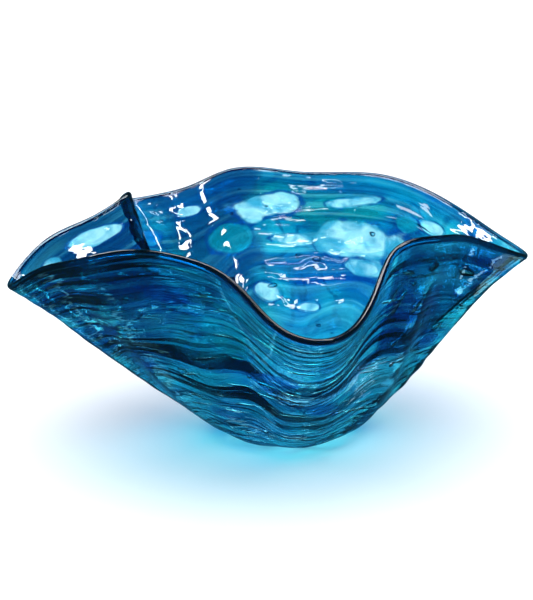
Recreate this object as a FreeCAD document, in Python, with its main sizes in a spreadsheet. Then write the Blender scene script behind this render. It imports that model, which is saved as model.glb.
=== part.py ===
# Art glass bowl: a hand-blown bowl of cased glass with a fluted, folded lip, standing on a ground foot pad.
#
# Frame: millimetres, +Z up. The origin is the centre of the foot pad's underside, where the bowl stands.
# The low dip of the lip faces -Y, the long pulled point is at -X and the short one is at +X.
#
# The wall is three layers of glass, worked hot one over the other and shaped together:
#   inner_gather   the clear gather that the bowl was blown from
#   colour_coat    the coloured coat picked up on it, with a pocket for each chip of other glass
#   outer_casing   the clear gather over the coat
# The chips fill the coat's pockets: pale windows, cobalt chips and teal chips. lip_wrap is the dark thread
# of glass laid on the cut edge of all three layers, and punty_pad is the ground pad under the bowl.
# Neighbouring layers share the very same faces, so they meet with neither gap nor overlap.
import FreeCAD, Part
import Sketcher
import math
import os

Vector = FreeCAD.Vector

# ---------------------------------------------------------------- driving dimensions
# Every row goes into the spreadsheet: alias, value in millimetres, what it is.
DIMENSIONS = [
    ("widest_reach", 216.0, "from the foot's axis to the lip's furthest point"),
    ("tallest_crest", 179.0, "from the table to the lip's highest crest"),
    ("foot_radius", 34.0, "flat bottom of the outer casing"),
    ("pad_radius", 32.0, "ground pad under the foot"),
    ("pad_height", 3.0, "ground pad, table to casing"),
    ("pad_rounding", 0.8, "radius on the pad's lower edge"),
    ("inner_at_rim", 2.0, "inner gather, thickness at the lip"),
    ("inner_at_foot", 4.0, "inner gather, thickness at the foot"),
    ("coat_at_rim", 1.0, "colour coat, thickness at the lip"),
    ("coat_at_foot", 2.0, "colour coat, thickness at the foot"),
    ("casing_at_rim", 2.0, "outer casing, thickness at the lip"),
    ("casing_at_foot", 4.0, "outer casing, thickness at the foot"),
    ("lip_rise_front", 4.8, "lip wrap at the front, height of the bead above the cut edge"),
    ("lip_rise_back", 2.6, "lip wrap at the back, where the thread of glass was pulled thinner"),
]

# Slope of the wall: how far its two ends are held straight, as a share of the distance from foot to lip.
FOOT_PULL = 0.225
FOOT_PULL_SKEW = 0.045
LIP_PULL = 0.38

# The lip's crest, once round the bowl, anticlockwise from +X: name, azimuth in degrees, reach as a share of
# widest_reach, height as a share of tallest_crest, and how steeply the wall arrives there, in degrees.
LIP_STATIONS = [
    ("right_tip", 2.0, 0.866, 0.810, 35.0),
    ("right_back", 17.0, 0.843, 0.821, 45.0),
    ("back_right", 35.0, 0.843, 0.864, 50.0),
    ("back_mid", 62.0, 0.829, 0.962, 56.0),
    ("back", 85.0, 0.801, 0.956, 58.0),
    ("back_corner", 106.0, 0.782, 0.984, 62.0),
    ("back_slope", 118.0, 0.759, 0.935, 58.0),
    ("left_dip", 131.0, 0.773, 0.908, 54.0),
    ("left_hollow", 141.0, 0.810, 0.913, 52.0),
    ("left_ridge", 148.5, 0.694, 0.989, 72.0),
    ("left_flap", 159.0, 0.764, 0.908, 60.0),
    ("left_wing", 172.0, 0.921, 0.810, 42.0),
    ("left_tip", 180.0, 1.000, 0.696, 33.0),
    ("left_front", 189.0, 0.917, 0.788, 40.0),
    ("left_rise", 202.0, 0.801, 0.902, 58.0),
    ("left_crest", 220.0, 0.699, 1.000, 70.0),
    ("front_left", 240.0, 0.634, 1.000, 72.0),
    ("front_slope", 257.0, 0.667, 0.913, 58.0),
    ("front_lip", 267.0, 0.731, 0.799, 44.0),
    ("front_dip", 278.0, 0.769, 0.750, 38.0),
    ("front_rise", 290.0, 0.685, 0.783, 46.0),
    ("right_pinch", 301.0, 0.588, 0.886, 62.0),
    ("right_ridge", 311.0, 0.532, 0.973, 78.0),
    ("right_crest", 333.0, 0.597, 1.000, 72.0),
    ("right_front", 350.0, 0.708, 0.924, 50.0),
]

# Chips of other glass in the colour coat: name, azimuth in degrees, share of the way up the wall,
# length and width in millimetres, and the turn of the length away from level, in degrees.
CHIPS = [
    ("pale_window_01", 97.0, 0.87, 74.0, 24.0, -2.0),
    ("pale_window_02", 63.5, 0.78, 64.0, 28.0, -4.0),
    ("pale_window_03", 60.0, 0.68, 28.0, 11.0, 0.0),
    ("pale_window_04", 98.0, 0.58, 24.0, 15.0, 12.0),
    ("pale_window_05", 79.0, 0.53, 19.0, 10.0, -4.0),
    ("pale_window_06", 88.0, 0.765, 32.0, 10.0, 0.0),
    ("pale_window_07", 161.5, 0.945, 56.0, 11.0, 4.0),
    ("pale_window_08", 172.5, 0.93, 20.0, 15.0, 0.0),
    ("pale_window_09", 41.0, 0.90, 24.0, 8.0, 0.0),
    ("pale_window_10", 69.5, 0.90, 44.0, 9.0, -6.0),
    ("pale_window_11", 33.0, 0.80, 24.0, 10.0, -10.0),
    ("pale_window_12", 122.0, 0.92, 26.0, 8.0, 0.0),
    ("pale_window_13", 330.0, 0.68, 20.0, 8.0, 30.0),
    ("pale_window_14", 354.0, 0.81, 20.0, 9.0, 10.0),
    ("teal_chip_01", 109.5, 0.775, 34.0, 20.0, 8.0),
    ("teal_chip_02", 50.5, 0.87, 19.0, 10.0, 0.0),
    ("teal_chip_03", 128.0, 0.66, 28.0, 14.0, 0.0),
    ("teal_chip_04", 205.0, 0.80, 46.0, 11.0, -4.0),
    ("teal_chip_05", 246.0, 0.72, 40.0, 10.0, -10.0),
    ("cobalt_chip_01", 267.0, 0.67, 34.0, 12.0, 18.0),
    ("cobalt_chip_02", 229.0, 0.86, 38.0, 13.0, 0.0),
    ("cobalt_chip_03", 286.0, 0.50, 26.0, 10.0, -16.0),
    ("cobalt_chip_04", 198.0, 0.58, 36.0, 12.0, 4.0),
    ("cobalt_chip_05", 43.0, 0.62, 30.0, 12.0, -10.0),
    ("cobalt_chip_06", 137.0, 0.86, 22.0, 11.0, 0.0),
    ("cobalt_chip_07", 353.0, 0.60, 24.0, 10.0, 20.0),
]
CHIP_CUTTER_REACH = 14.0     # how far a chip's cutter runs to each side of the coat

# ---------------------------------------------------------------- resolution of the blown surfaces
RING_POINTS = 120            # points round each ring of a surface
SECTORS = 12                 # faces round each ring of a surface
WALL_RINGS = 9               # rings from the foot to the lip
BEAD_RINGS = 7               # rings over the lip wrap's rounded top
STEP = 1.0e-3                # parameter step for slopes

# Sketcher's own numbers for a circle's centre and for the sketch's origin.
CENTRE_POINT = 3
ROOT_POINT = -1


def make_sheet(doc):
    """Fill the spreadsheet with the driving dimensions and each chip's length and width."""
    sheet = doc.addObject("Spreadsheet::Sheet", "sizes")
    rows = list(DIMENSIONS)
    for name, azimuth, rise, length, width, turn in CHIPS:
        rows.append((name + "_length", length, "length along the wall"))
        rows.append((name + "_width", width, "width along the wall"))
    for number, (alias, value, meaning) in enumerate(rows, start=1):
        sheet.set("A%d" % number, alias)
        sheet.set("B%d" % number, str(value))
        sheet.set("C%d" % number, meaning)
        sheet.setAlias("B%d" % number, alias)
    doc.recompute()
    return sheet


class BlownWall:
    """The bowl's wall as a formula: a place on the colour coat's middle, and offsets square to it."""

    def __init__(self, sheet):
        self.size = lambda alias: float(sheet.get(alias))
        size = self.size
        points = []
        azimuths = []
        for name, azimuth, reach, height, lean in LIP_STATIONS:
            points.append(Vector(reach * size("widest_reach"), height * size("tallest_crest"), lean))
            azimuths.append(azimuth)
        self.first = azimuths[0]
        self.lip = Part.BSplineCurve()
        self.lip.interpolate(Points=points, PeriodicFlag=True, Parameters=azimuths + [self.first + 360.0])
        self.floor = size("pad_height") + size("casing_at_foot") + 0.5 * size("coat_at_foot")

    def lip_rise(self, azimuth):
        """Height of the lip wrap's bead: full at the front (-Y), easing to its back value at +Y."""
        front = self.size("lip_rise_front")
        back = self.size("lip_rise_back")
        return back + (front - back) * 0.5 * (1 - math.sin(math.radians(azimuth)))

    def middle(self, azimuth, rise):
        """Middle of the colour coat; rise is 0 at the edge of the flat foot and 1 at the cut edge."""
        station = self.lip.value(self.first + (azimuth - self.first) % 360.0)
        lean = math.radians(station.z)
        bead = self.lip_rise(azimuth)
        reach = station.x - bead * math.cos(lean)
        height = station.y - bead * math.sin(lean)
        foot = self.size("foot_radius")
        span = math.hypot(reach - foot, height - self.floor)
        foot_pull = FOOT_PULL + FOOT_PULL_SKEW * math.cos(math.radians(azimuth))
        corners = [
            (foot, self.floor),
            (foot + foot_pull * span, self.floor),
            (reach - LIP_PULL * span * math.cos(lean), height - LIP_PULL * span * math.sin(lean)),
            (reach, height),
        ]
        weights = [(1 - rise) ** 3, 3 * rise * (1 - rise) ** 2, 3 * rise ** 2 * (1 - rise), rise ** 3]
        radius = sum(weight * corner[0] for weight, corner in zip(weights, corners))
        level = sum(weight * corner[1] for weight, corner in zip(weights, corners))
        angle = math.radians(azimuth)
        return Vector(radius * math.cos(angle), radius * math.sin(angle), level)

    def round_direction(self, azimuth, rise):
        """Unit direction round the bowl, anticlockwise, along the wall."""
        run = self.middle(azimuth + STEP, rise) - self.middle(azimuth - STEP, rise)
        return run.normalize()

    def upward_direction(self, azimuth, rise):
        """Unit direction up the wall, towards the lip."""
        run = self.middle(azimuth, rise + STEP) - self.middle(azimuth, rise - STEP)
        return run.normalize()

    def outward_direction(self, azimuth, rise):
        """Unit direction square to the wall, from the inside of the bowl to the outside."""
        across = self.round_direction(azimuth, rise).cross(self.upward_direction(azimuth, rise))
        return across.normalize()

    def thickness(self, layer, rise):
        """Thickness of one layer: its foot value at the foot, easing to its lip value at the lip."""
        at_rim = self.size(layer + "_at_rim")
        at_foot = self.size(layer + "_at_foot")
        return at_rim + (at_foot - at_rim) * (1 - rise ** 2) ** 2

    def offset(self, face, rise):
        """Distance of one of the four glass faces from the coat's middle, positive outwards."""
        half_coat = 0.5 * self.thickness("coat", rise)
        offsets = {
            "inside": -half_coat - self.thickness("inner", rise),
            "under_coat": -half_coat,
            "over_coat": half_coat,
            "outside": half_coat + self.thickness("casing", rise),
        }
        return offsets[face]

    def on_face(self, face, azimuth, rise):
        """A point on one of the four glass faces."""
        outward = self.outward_direction(azimuth, rise)
        return self.middle(azimuth, rise) + outward * self.offset(face, rise)

    def on_bead(self, azimuth, swing):
        """A point on the lip wrap's skin: swing runs from -90 at the inside face to 90 at the outside."""
        inner = self.on_face("inside", azimuth, 1.0)
        outer = self.on_face("outside", azimuth, 1.0)
        upward = self.upward_direction(azimuth, 1.0)
        angle = math.radians(swing)
        across = (outer - inner) * (0.5 * math.sin(angle))
        return (inner + outer) * 0.5 + across + upward * (self.lip_rise(azimuth) * math.cos(angle))


# ---------------------------------------------------------------- faces and solids of blown glass
def closed_ring(place):
    """One smooth closed ring through place(azimuth), as a wire of one edge for each sector."""
    azimuths = [360.0 * number / RING_POINTS for number in range(RING_POINTS)]
    curve = Part.BSplineCurve()
    curve.interpolate(
        Points=[place(azimuth) for azimuth in azimuths],
        PeriodicFlag=True,
        Parameters=azimuths + [360.0],
    )
    sector = 360.0 / SECTORS
    edges = [curve.toShape(sector * number, sector * (number + 1)) for number in range(SECTORS)]
    return Part.Wire(edges)


def skin_through(rings):
    """A smooth skin through a row of closed rings, one face for each sector."""
    return Part.makeLoft(rings, False, False, False).Faces


def wall_faces(wall, face):
    """One of the four glass faces, from the foot to the cut edge."""
    rings = []
    for number in range(WALL_RINGS):
        rise = number / (WALL_RINGS - 1)
        rings.append(closed_ring(lambda azimuth: wall.on_face(face, azimuth, rise)))
    return skin_through(rings)


def foot_face(wall, face):
    """The flat disc that closes one of the four glass faces at the foot."""
    return Part.Face(closed_ring(lambda azimuth: wall.on_face(face, azimuth, 0.0)))


def edge_faces(wall, inner, outer):
    """The narrow band of cut edge between two neighbouring glass faces."""
    rings = [closed_ring(lambda azimuth: wall.on_face(face, azimuth, 1.0)) for face in (inner, outer)]
    return Part.makeLoft(rings, False, True, False).Faces


def bead_faces(wall):
    """The rounded skin of the lip wrap."""
    rings = []
    for number in range(BEAD_RINGS):
        swing = -90.0 + 180.0 * number / (BEAD_RINGS - 1)
        rings.append(closed_ring(lambda azimuth: wall.on_bead(azimuth, swing)))
    return skin_through(rings)


def solid_of(faces):
    """The solid closed by faces that meet edge to edge."""
    shell = Part.Compound(faces)
    shell.sewShape(1.0e-4)
    solid = Part.makeSolid(shell.Shells[0])
    if solid.Volume < 0:
        solid.reverse()
    return solid


def add_blown_piece(doc, name, faces):
    """One piece of blown glass, closed by the given faces."""
    piece = doc.addObject("Part::Feature", name)
    piece.Label = name
    piece.Shape = solid_of(faces)
    piece.Placement = FreeCAD.Placement()
    return piece


def make_layers(doc, wall):
    """The inner gather, the coat before its pockets are cut, the outer casing and the lip wrap."""
    names = ["inside", "under_coat", "over_coat", "outside"]
    glass = {name: wall_faces(wall, name) + [foot_face(wall, name)] for name in names}
    bands = [edge_faces(wall, names[number], names[number + 1]) for number in range(3)]

    def layer_faces(number):
        return glass[names[number]] + glass[names[number + 1]] + bands[number]

    gather = add_blown_piece(doc, "inner_gather", layer_faces(0))
    coat_blank = add_blown_piece(doc, "coat_blank", layer_faces(1))
    casing = add_blown_piece(doc, "outer_casing", layer_faces(2))
    wrap = add_blown_piece(doc, "lip_wrap", bands[0] + bands[1] + bands[2] + bead_faces(wall))
    return gather, coat_blank, casing, wrap


# ---------------------------------------------------------------- chips in the colour coat
def make_chip_cutter(doc, wall, chip):
    """An elliptical prism, square to the wall, that marks out one chip."""
    name, azimuth, rise, length, width, turn = chip
    ellipse = doc.addObject("Part::Ellipse", name + "_outline")
    ellipse.setExpression("MajorRadius", "sizes.%s_length / 2" % name)
    ellipse.setExpression("MinorRadius", "sizes.%s_width / 2" % name)
    along = wall.round_direction(azimuth, rise)
    outward = wall.outward_direction(azimuth, rise)
    # Seen from inside the bowl a positive turn lifts the chip's anticlockwise end.
    level = FreeCAD.Rotation(along, outward.cross(along), outward, "ZXY")
    lift = FreeCAD.Rotation(Vector(0, 0, 1), turn)
    ellipse.Placement = FreeCAD.Placement(wall.middle(azimuth, rise), level * lift)
    prism = doc.addObject("Part::Extrusion", name + "_cutter")
    prism.Base = ellipse
    prism.DirMode = "Custom"
    prism.Dir = outward
    prism.LengthFwd = CHIP_CUTTER_REACH
    prism.LengthRev = CHIP_CUTTER_REACH
    prism.Solid = True
    return prism


def make_chips(doc, wall, coat_blank):
    """Each chip is the coat inside its outline; the colour coat is what is left."""
    chips = []
    cutters = []
    for chip in CHIPS:
        cutter = make_chip_cutter(doc, wall, chip)
        piece = doc.addObject("Part::Common", chip[0])
        piece.Label = chip[0]
        piece.Base = coat_blank
        piece.Tool = cutter
        chips.append(piece)
        cutters.append(cutter)
    all_cutters = doc.addObject("Part::Compound", "chip_cutters")
    all_cutters.Links = cutters
    coat = doc.addObject("Part::Cut", "colour_coat")
    coat.Label = "colour_coat"
    coat.Base = coat_blank
    coat.Tool = all_cutters
    return [coat] + chips


# ---------------------------------------------------------------- foot pad
def make_pad(doc):
    """The foot pad: a disc ground flat, with a rounded lower edge."""
    body = doc.addObject("PartDesign::Body", "punty_pad")
    body.Label = "punty_pad"
    table_plane = next(item for item in body.Origin.OriginFeatures if item.Role == "XY_Plane")
    outline = body.newObject("Sketcher::SketchObject", "pad_outline")
    outline.AttachmentSupport = [(table_plane, "")]
    outline.MapMode = "FlatFace"
    circle = outline.addGeometry(Part.Circle(Vector(0, 0, 0), Vector(0, 0, 1), 10.0), False)
    outline.addConstraint(Sketcher.Constraint("Coincident", circle, CENTRE_POINT, ROOT_POINT, 1))
    radius = outline.addConstraint(Sketcher.Constraint("Radius", circle, 10.0))
    outline.setExpression("Constraints[%d]" % radius, "sizes.pad_radius")
    disc = body.newObject("PartDesign::Pad", "pad_disc")
    disc.Profile = outline
    disc.setExpression("Length", "sizes.pad_height")
    doc.recompute()
    rounding = body.newObject("PartDesign::Fillet", "pad_rounding")
    rounding.Base = (disc, [edge_on_table(disc.Shape)])
    rounding.setExpression("Radius", "sizes.pad_rounding")
    body.Tip = rounding
    return body


def edge_on_table(shape):
    """Name of the edge that lies in the plane of the table."""
    for number, edge in enumerate(shape.Edges, start=1):
        if abs(edge.BoundBox.ZMax) < 1.0e-6:
            return "Edge%d" % number
    raise ValueError("no edge on the table")


# ---------------------------------------------------------------- checks and files
def check(doc, pieces):
    """Stop if any feature failed, or if a piece isn't one valid solid."""
    for item in doc.Objects:
        if "Invalid" in item.State or "Error" in item.State:
            raise RuntimeError("%s failed to build: %s" % (item.Name, item.State))
    for piece in pieces:
        shape = piece.Shape
        if shape.isNull() or not shape.isValid() or len(shape.Solids) != 1:
            raise RuntimeError("%s isn't one valid solid" % piece.Label)
        if shape.Volume <= 0:
            raise RuntimeError("%s has no volume" % piece.Label)


def write(pieces):
    """Write each piece to a STEP file of its own name."""
    os.makedirs("parts", exist_ok=True)
    for piece in pieces:
        piece.Shape.exportStep(os.path.join("parts", piece.Label + ".step"))
        print("%-16s %9.2f cm3" % (piece.Label, piece.Shape.Volume / 1000.0))


def main():
    doc = FreeCAD.newDocument("art_glass_bowl")
    sheet = make_sheet(doc)
    wall = BlownWall(sheet)
    gather, coat_blank, casing, wrap = make_layers(doc, wall)
    coat_and_chips = make_chips(doc, wall, coat_blank)
    pad = make_pad(doc)
    doc.recompute()
    pieces = [gather, casing, wrap, pad] + coat_and_chips
    check(doc, pieces)
    write(pieces)


main()
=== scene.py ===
import math

import bpy
import numpy as np
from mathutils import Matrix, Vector


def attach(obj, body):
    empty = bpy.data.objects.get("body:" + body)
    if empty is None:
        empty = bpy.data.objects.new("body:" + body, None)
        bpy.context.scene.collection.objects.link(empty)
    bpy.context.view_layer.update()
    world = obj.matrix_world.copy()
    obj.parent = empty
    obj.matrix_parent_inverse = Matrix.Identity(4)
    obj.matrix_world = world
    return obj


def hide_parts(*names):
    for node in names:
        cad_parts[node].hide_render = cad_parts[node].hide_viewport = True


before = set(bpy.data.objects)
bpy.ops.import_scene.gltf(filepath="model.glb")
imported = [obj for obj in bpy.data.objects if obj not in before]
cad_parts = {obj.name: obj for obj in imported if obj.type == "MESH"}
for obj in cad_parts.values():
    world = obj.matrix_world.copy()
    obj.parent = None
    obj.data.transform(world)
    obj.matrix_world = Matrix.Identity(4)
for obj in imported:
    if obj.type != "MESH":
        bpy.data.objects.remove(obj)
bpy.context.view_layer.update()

# Art glass bowl: looks. Metres, +Z up, the origin at the centre of the foot pad's underside.
# The wall's formula and the lip's stations are the ones that the CAD model is built from, in metres.

# ---------------------------------------------------------------- driving dimensions of the blown wall
MM = 0.001
WIDEST_REACH = 216.0 * MM
TALLEST_CREST = 179.0 * MM
FOOT_RADIUS = 34.0 * MM
PAD_HEIGHT = 3.0 * MM
INNER = (2.0 * MM, 4.0 * MM)        # thickness at the lip and at the foot
COAT = (1.0 * MM, 2.0 * MM)
CASING = (2.0 * MM, 4.0 * MM)
LIP_RISE_FRONT = 4.8 * MM
LIP_RISE_BACK = 2.6 * MM
FOOT_PULL = 0.225
FOOT_PULL_SKEW = 0.045
LIP_PULL = 0.38
WALL_FLOOR = PAD_HEIGHT + CASING[1] + 0.5 * COAT[1]
WALL_CURVE = 1.08                   # length of the curved wall against the straight line from foot to lip

# Azimuth in degrees, reach and height as shares of the overall sizes, and the wall's lean in degrees.
LIP_STATIONS = [
    (2.0, 0.866, 0.810, 35.0),      # right tip
    (17.0, 0.843, 0.821, 45.0),
    (35.0, 0.843, 0.864, 50.0),
    (62.0, 0.829, 0.962, 56.0),
    (85.0, 0.801, 0.956, 58.0),     # back
    (106.0, 0.782, 0.984, 62.0),
    (118.0, 0.759, 0.935, 58.0),
    (131.0, 0.773, 0.908, 54.0),
    (141.0, 0.810, 0.913, 52.0),    # hollow beside the folded ridge
    (148.5, 0.694, 0.989, 72.0),
    (159.0, 0.764, 0.908, 60.0),
    (172.0, 0.921, 0.810, 42.0),
    (180.0, 1.000, 0.696, 33.0),    # left tip
    (189.0, 0.917, 0.788, 40.0),
    (202.0, 0.801, 0.902, 58.0),
    (220.0, 0.699, 1.000, 70.0),    # left front crest
    (240.0, 0.634, 1.000, 72.0),
    (257.0, 0.667, 0.913, 58.0),
    (267.0, 0.731, 0.799, 44.0),
    (278.0, 0.769, 0.750, 38.0),    # low front dip
    (290.0, 0.685, 0.783, 46.0),
    (301.0, 0.588, 0.886, 62.0),
    (311.0, 0.532, 0.973, 78.0),
    (333.0, 0.597, 1.000, 72.0),    # right front crest
    (350.0, 0.708, 0.924, 50.0),
]

# ---------------------------------------------------------------- resolution of the visual meshes
ROUND = 400                         # columns round the bowl
UP_WALL = 96                        # rows from the foot's edge to the lip
DISC_RINGS = 6                      # rows across the flat foot
EDGE_ROWS = 5                       # rows over the wall's rounded cut edge
BEAD_ROUND = 800                    # columns round the lip wrap
BEAD_SECTION = 14                   # rows over its crown
BUBBLE_RINGS = 14
BUBBLE_SPOKES = 24

# ---------------------------------------------------------------- sizes of what the visual model adds
RIPPLE = 0.30 * MM                  # height of the wall's hand-made ripples
STILL_POCKET = 0.6                  # the share of their height that they lose in the dark pocket
STILL_LIP = 0.05                    # the share of the wall's length over which they fade out below the lip
STILL_FOOT = 0.12                   # and above the foot
FOOT_DISH = 0.6 * MM                # how far the middle of the foot is ground hollow
BEAD_LAP = 0.15 * MM                # how far the lip wrap stands proud of the wall's faces
BEAD_SKIRT = 0.5 * MM               # how far it laps down over them
BEAD_UNEVENNESS = 0.05              # as a share of the skirt
BEAD_FLOW = 2.0 * MM                # step of its flow coordinates from one row to the next
FLOW_RADIUS = 160.0 * MM            # the radius at which the flow coordinates run round the bowl
CHIP_REACH = 20.0 * MM              # a chip colours the wall no further away than this


# ---------------------------------------------------------------- the wall as a formula
def closed_spline(knots, values):
    """The smooth closed curve through values at knots in degrees: a periodic cubic spline."""
    knots = np.asarray(knots, float)
    values = np.asarray(values, float)
    count = len(knots)
    gap = np.append(np.diff(knots), knots[0] + 360.0 - knots[-1])
    system = np.zeros((count, count))
    right = np.zeros_like(values)
    for i in range(count):
        before, after = (i - 1) % count, (i + 1) % count
        system[i, before] += gap[before]
        system[i, i] += 2 * (gap[before] + gap[i])
        system[i, after] += gap[i]
        rise = (values[after] - values[i]) / gap[i]
        right[i] = 6 * (rise - (values[i] - values[before]) / gap[before])
    bend = np.linalg.solve(system, right)

    def at(azimuth):
        azimuth = (np.asarray(azimuth, float) - knots[0]) % 360.0 + knots[0]
        i = np.clip(np.searchsorted(knots, azimuth, side="right") - 1, 0, count - 1)
        j = (i + 1) % count
        width = gap[i][..., None]
        past = (azimuth - knots[i])[..., None]
        left = width - past
        curve = (bend[i] * left ** 3 + bend[j] * past ** 3) / (6 * width)
        line_left = (values[i] / width - bend[i] * width / 6) * left
        return curve + line_left + (values[j] / width - bend[j] * width / 6) * past

    return at


lip_curve = closed_spline(
    [station[0] for station in LIP_STATIONS],
    [(s[1] * WIDEST_REACH, s[2] * TALLEST_CREST, s[3]) for s in LIP_STATIONS],
)


def bead_rise(azimuth):
    """Height of the lip wrap above the cut edge."""
    return LIP_RISE_BACK + (LIP_RISE_FRONT - LIP_RISE_BACK) * 0.5 * (1 - np.sin(np.radians(azimuth)))


def middle(azimuth, rise):
    """Middle of the colour coat, for arrays of azimuths in degrees and rises from 0 at the foot to 1."""
    station = lip_curve(azimuth)
    lean = np.radians(station[..., 2])
    bead = bead_rise(azimuth)
    reach = station[..., 0] - bead * np.cos(lean)
    height = station[..., 1] - bead * np.sin(lean)
    span = np.hypot(reach - FOOT_RADIUS, height - WALL_FLOOR)
    foot_pull = FOOT_PULL + FOOT_PULL_SKEW * np.cos(np.radians(azimuth))
    weights = [(1 - rise) ** 3, 3 * rise * (1 - rise) ** 2, 3 * rise ** 2 * (1 - rise), rise ** 3]
    radii = [FOOT_RADIUS, FOOT_RADIUS + foot_pull * span, reach - LIP_PULL * span * np.cos(lean), reach]
    levels = [WALL_FLOOR, WALL_FLOOR, height - LIP_PULL * span * np.sin(lean), height]
    radius = sum(w * r for w, r in zip(weights, radii))
    level = sum(w * z for w, z in zip(weights, levels))
    angle = np.radians(azimuth)
    return np.stack([radius * np.cos(angle), radius * np.sin(angle), level], -1)


def unit(vectors):
    return vectors / np.linalg.norm(vectors, axis=-1, keepdims=True)


def directions(azimuth, rise, step=1e-3):
    """Unit vectors up the wall and square to it, outwards."""
    along = unit(middle(azimuth + step, rise) - middle(azimuth - step, rise))
    up = unit(middle(azimuth, rise + step) - middle(azimuth, rise - step))
    return up, unit(np.cross(along, up))


def thickness(layer, rise):
    return layer[0] + (layer[1] - layer[0]) * (1 - rise ** 2) ** 2


def inside_offset(rise):
    return -0.5 * thickness(COAT, rise) - thickness(INNER, rise)


def outside_offset(rise):
    return 0.5 * thickness(COAT, rise) + thickness(CASING, rise)


# ---------------------------------------------------------------- ripples left by the hot working
class Waves:
    """A smooth, seamless random field over azimuth and depth: a sum of slanted waves.

    round_waves is the most waves round the bowl, and depth_length about the shortest one down the wall.
    """

    def __init__(self, seed, count, round_waves, depth_length):
        source = np.random.RandomState(seed)
        self.turns = source.randint(-round_waves, round_waves + 1, count)
        self.pitch = 2 * math.pi / (depth_length * source.uniform(0.7, 1.8, count))
        self.phase = source.uniform(0, 2 * math.pi, count)
        self.share = source.uniform(0.5, 1.0, count)
        self.share /= np.sqrt((self.share ** 2).sum() / 2)

    def __call__(self, azimuth, depth):
        angle = np.radians(azimuth)
        total = np.zeros(np.broadcast(angle, depth).shape)
        for turns, pitch, phase, share in zip(self.turns, self.pitch, self.phase, self.share):
            total += share * np.cos(turns * angle + pitch * depth + phase)
        return total


def depth_below_lip(azimuth, rise):
    """Rough distance down the wall from the cut edge."""
    station = lip_curve(azimuth)
    length = np.hypot(station[..., 0] - FOOT_RADIUS, station[..., 1] - WALL_FLOOR) * WALL_CURVE
    return (1 - rise) * length


def ripple(side, azimuth, rise):
    """How far one face of the wall stands proud of its smooth form."""
    depth = depth_below_lip(azimuth, rise)
    broad = Waves(11 + side, count=12, round_waves=7, depth_length=0.075)(azimuth, depth)
    lines = Waves(31 + side, count=16, round_waves=4, depth_length=0.020)(azimuth, depth)
    fine = Waves(51 + side, count=18, round_waves=6, depth_length=0.011)(azimuth, depth)
    patch = Waves(71 + side, count=8, round_waves=5, depth_length=0.12)(azimuth, depth)
    patch = 0.5 + 0.5 * np.tanh(1.5 * patch)
    height = RIPPLE * (1.2 * broad + 0.50 * lines * (0.35 + patch) + 0.30 * fine * patch)
    still = 1 - STILL_POCKET * np.clip(pocket_depth(azimuth, rise), 0, 1)
    return height * still * np.clip((1 - rise) / STILL_LIP, 0, 1) * np.clip(rise / STILL_FOOT, 0, 1)


# ---------------------------------------------------------------- meshes
def grid_mesh(name, rows, caps):
    """A closed skin from rows of rings (rows, columns, 3); caps says which ends close in a point."""
    rows = np.asarray(rows)
    count, columns = rows.shape[:2]
    points = rows.reshape(-1, 3)
    index = np.arange(count * columns).reshape(count, columns)
    right = np.roll(index, -1, 1)
    quads = np.stack([index[:-1], right[:-1], right[1:], index[1:]], -1).reshape(-1, 4)
    faces = quads.tolist()
    if caps:
        first, last = len(points), len(points) + 1
        ends = np.stack([rows[0].mean(0), rows[-1].mean(0)])
        points = np.concatenate([points, ends])
        faces += np.stack([right[0], index[0], np.full(columns, first)], -1).tolist()
        faces += np.stack([index[-1], right[-1], np.full(columns, last)], -1).tolist()
    else:
        faces += np.stack([index[-1], right[-1], right[0], index[0]], -1).tolist()
    mesh = bpy.data.meshes.new(name)
    mesh.from_pydata(points.tolist(), [], faces)
    mesh.validate()
    mesh.shade_smooth()
    piece = bpy.data.objects.new(name, mesh)
    bpy.context.scene.collection.objects.link(piece)
    return piece


def set_vectors(piece, name, vectors):
    """Store one vector for each vertex, for the materials to read."""
    layer = piece.data.attributes.new(name, "FLOAT_VECTOR", "POINT")
    layer.data.foreach_set("vector", np.asarray(vectors, np.float32).ravel())


def set_values(piece, name, values):
    """Store one number for each vertex, for the materials to read."""
    layer = piece.data.attributes.new(name, "FLOAT", "POINT")
    layer.data.foreach_set("value", np.asarray(values, np.float32).ravel())


def flow_of(azimuth, depth):
    """Seamless coordinates that run with the glass: round the bowl in x and y, down the wall in z."""
    angle = np.radians(azimuth)
    return np.stack([FLOW_RADIUS * np.cos(angle), FLOW_RADIUS * np.sin(angle), depth], -1)


# What the wall stores for each kind of chip: how its nodes' names begin, and how far its colour spreads
# across its width.
CHIP_KINDS = {"pale": ("pale_window", 1.0), "teal": ("teal_chip", 1.3), "cobalt": ("cobalt_chip", 1.3)}


def window_masks(points, names, spread):
    """How far each point lies inside the nearest of some chips: 1 at its middle, 0 at its outline."""
    best = np.full(len(points), -10.0)
    for name in names:
        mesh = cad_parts[name].data
        corners = np.empty(len(mesh.vertices) * 3)
        mesh.vertices.foreach_get("co", corners)
        corners = corners.reshape(-1, 3)
        centre = 0.5 * (corners.min(0) + corners.max(0))
        centre = 0.5 * (centre + corners.mean(0))
        axes = np.linalg.svd(corners - centre, full_matrices=False)[2]
        reach = np.abs((corners - centre) @ axes.T).max(0)
        local = (points - centre) @ axes.T
        far = np.hypot(local[:, 0] / reach[0], local[:, 1] / (reach[1] * spread))
        near = np.abs(local[:, 2]) < CHIP_REACH
        best = np.where(near, np.maximum(best, 1 - far), best)
    return best


# Patches of the wall: the rise where each begins and over how much more it sets in, then the azimuths in
# degrees where it begins and where it ends, each followed by the degrees over which it sets in or fades.
POCKET = (0.61, 0.06, 313.0, 6.0, 361.0, 4.0)           # the dark pocket of the right lobe
POCKET_TAIL = (350.0, 10.0, 0.30)                       # past this azimuth its lower edge rises, by this much
HALO = (-2.6, 1.2, 0.3, 0.8)                            # its pale rim, as depths inside it, in the same order
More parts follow.
